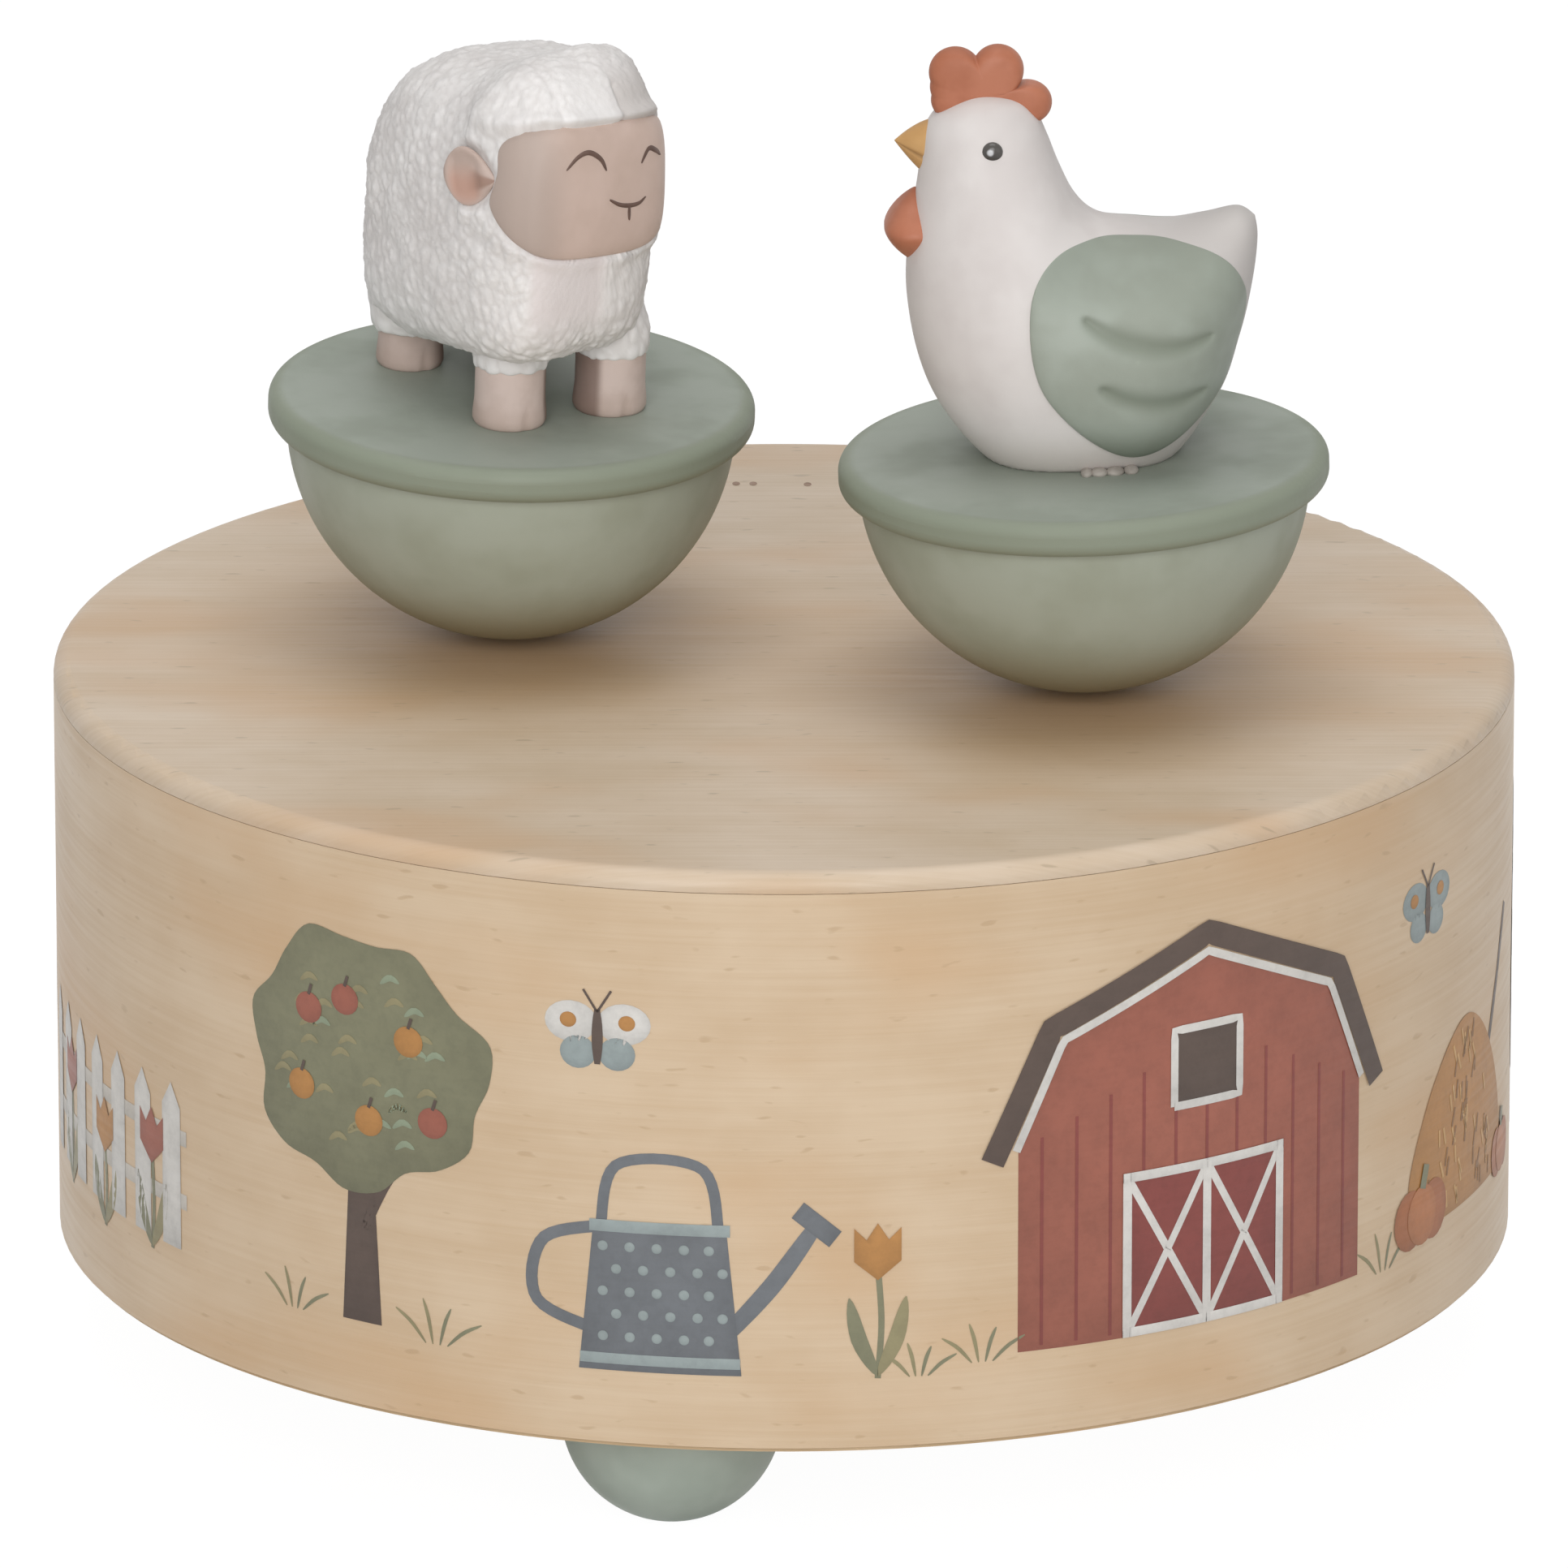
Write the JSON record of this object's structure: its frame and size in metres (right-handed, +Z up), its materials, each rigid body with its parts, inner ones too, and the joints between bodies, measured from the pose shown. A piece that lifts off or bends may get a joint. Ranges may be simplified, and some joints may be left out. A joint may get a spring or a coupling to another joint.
{
  "type": "toy music box",
  "caption": "Round wooden drum on ball feet with a wind-up comb movement inside; magnets under its top lead round-bottomed sheep and hen tumblers in a waltz.",
  "frame": {"origin": "on the floor under the drum's axis, at the height of the feet's flats", "axes": "+Z up along the drum's axis, -Y to the front, +X to the right"},
  "size_m": [0.12, 0.12, 0.1135],
  "materials": {
    "top_wood": "pale sanded wood with long fine grain, clear matt varnish",
    "hoop_wood": "bare bent wood",
    "wrap_veneer": "pale veneer printed with a countryside frieze, matt varnish",
    "base_wood": "bare sanded wood",
    "foot_paint": "turned wooden ball, sage green paint, matt",
    "screw_steel": "zinc-plated steel",
    "key_steel": "nickel-plated steel",
    "shaft_steel": "ground steel",
    "spring_steel": "blued spring steel",
    "comb_steel": "hardened steel",
    "bed_cast": "die-cast, satin",
    "brass": "turned brass",
    "gear_nylon": "natural nylon",
    "arm_nylon": "moulded nylon",
    "magnet": "sintered magnet, plain",
    "ballast_iron": "cast weight, plain",
    "bowl_paint": "turned wood, sage green paint, matt",
    "plate_paint": "turned wood, sage green paint, matt",
    "fleece_resin": "cast resin with a fine curly fleece texture, off-white",
    "face_resin": "cast resin, warm beige, smooth",
    "ear_resin": "cast resin, beige with a pinkish inside",
    "leg_resin": "cast resin, beige, smooth",
    "hen_resin": "cast resin, off-white, smooth",
    "wing_resin": "cast resin, sage green paint",
    "crest_resin": "cast resin, terracotta paint",
    "beak_resin": "cast resin, ochre paint",
    "eye_resin": "dark glossy drop"
  },
  "bodies": {
    "casing": {"top_plate": "top_wood", "drum_hoop": "hoop_wood", "printed_wrap": "wrap_veneer", "base_plate": "base_wood", "base_screws": "screw_steel", "foot_front": "foot_paint", "foot_right": "foot_paint", "foot_left": "foot_paint", "foot_screws": "screw_steel", "bedplate": "bed_cast", "bed_screws": "screw_steel", "tone_comb": "comb_steel", "comb_screws": "screw_steel", "lower_bush": "brass", "upper_bush": "brass"},
    "key": {"winding_arbor": "shaft_steel", "winding_key": "key_steel"},
    "barrel": {"spring_barrel": "brass", "barrel_cover": "brass", "mainspring": "spring_steel"},
    "cylinder": {"tune_cylinder": "brass", "cylinder_axle": "shaft_steel", "cylinder_pinion": "gear_nylon", "cylinder_gear": "gear_nylon"},
    "governor": {"governor_shaft": "shaft_steel", "governor_fly": "arm_nylon"},
    "rotor": {"rotor_shaft": "shaft_steel", "rotor_gear": "gear_nylon", "rotor_arm": "arm_nylon"},
    "sheep_drive": {"sheep_drive_magnet": "magnet"},
    "hen_drive": {"hen_drive_magnet": "magnet"},
    "sheep_float": {"sheep_magnet": "magnet"},
    "hen_float": {"hen_magnet": "magnet"},
    "sheep": {"sheep_bowl": "bowl_paint", "sheep_plate": "plate_paint", "sheep_ballast": "ballast_iron", "sheep_fleece": "fleece_resin", "sheep_face": "face_resin", "sheep_ear_left": "ear_resin", "sheep_ear_right": "ear_resin", "sheep_leg_front_left": "leg_resin", "sheep_leg_front_right": "leg_resin", "sheep_leg_back_left": "leg_resin", "sheep_leg_back_right": "leg_resin"},
    "hen": {"hen_bowl": "bowl_paint", "hen_plate": "plate_paint", "hen_ballast": "ballast_iron", "hen_body": "hen_resin", "hen_wing_left": "wing_resin", "hen_wing_right": "wing_resin", "hen_crest": "crest_resin", "hen_beak": "beak_resin", "hen_wattle": "crest_resin", "hen_eyes": "eye_resin", "hen_screw": "screw_steel"}
  },
  "joints": [
    {"name": "key_wind", "type": "hinge", "parent": "casing", "child": "key", "pos_m": [-0.01632, -0.012, 0.015], "axis": [0, 0, 1], "range_deg": [0, 1530]},
    {"name": "rotor_spin", "type": "hinge", "parent": "casing", "child": "rotor", "pos_m": [0.001, -0.002, 0.02], "axis": [0, 0, 1], "continuous": true},
    {"name": "barrel_spin", "type": "hinge", "parent": "casing", "child": "barrel", "pos_m": [-0.01632, -0.012, 0.025], "axis": [0, 0, 1], "continuous": true},
    {"name": "cylinder_spin", "type": "hinge", "parent": "casing", "child": "cylinder", "pos_m": [0.01, -0.012, 0.0352], "axis": [1, 0, 0], "continuous": true},
    {"name": "governor_spin", "type": "hinge", "parent": "casing", "child": "governor", "pos_m": [0.035, -0.003, 0.0352], "axis": [1, 0, 0], "continuous": true},
    {"name": "sheep_twirl", "type": "hinge", "parent": "rotor", "child": "sheep_drive", "pos_m": [-0.02239, 0.00529, 0.052], "axis": [0, 0, 1], "continuous": true},
    {"name": "sheep_lift", "type": "slide", "parent": "sheep_drive", "child": "sheep_float", "axis": [0, 0, 1], "range_m": [0, 0.05]},
    {"name": "sheep_rock", "type": "hinge", "parent": "sheep_float", "child": "sheep", "pos_m": [-0.02239, 0.00529, 0.0778], "axis": [0.8829, 0.4695, 0], "range_deg": [-20, 20]},
    {"name": "hen_twirl", "type": "hinge", "parent": "rotor", "child": "hen_drive", "pos_m": [0.02439, -0.00929, 0.052], "axis": [0, 0, 1], "continuous": true},
    {"name": "hen_lift", "type": "slide", "parent": "hen_drive", "child": "hen_float", "axis": [0, 0, 1], "range_m": [0, 0.05]},
    {"name": "hen_rock", "type": "hinge", "parent": "hen_float", "child": "hen", "pos_m": [0.02439, -0.00929, 0.0778], "axis": [0, 1, 0], "range_deg": [-20, 20]}
  ],
  "couplings": [
    {"joint": "barrel_spin", "follows": "rotor_spin", "ratio": -0.33333},
    {"joint": "cylinder_spin", "follows": "rotor_spin", "ratio": -1.3333},
    {"joint": "governor_spin", "follows": "rotor_spin", "ratio": 5.3333}
  ]
}
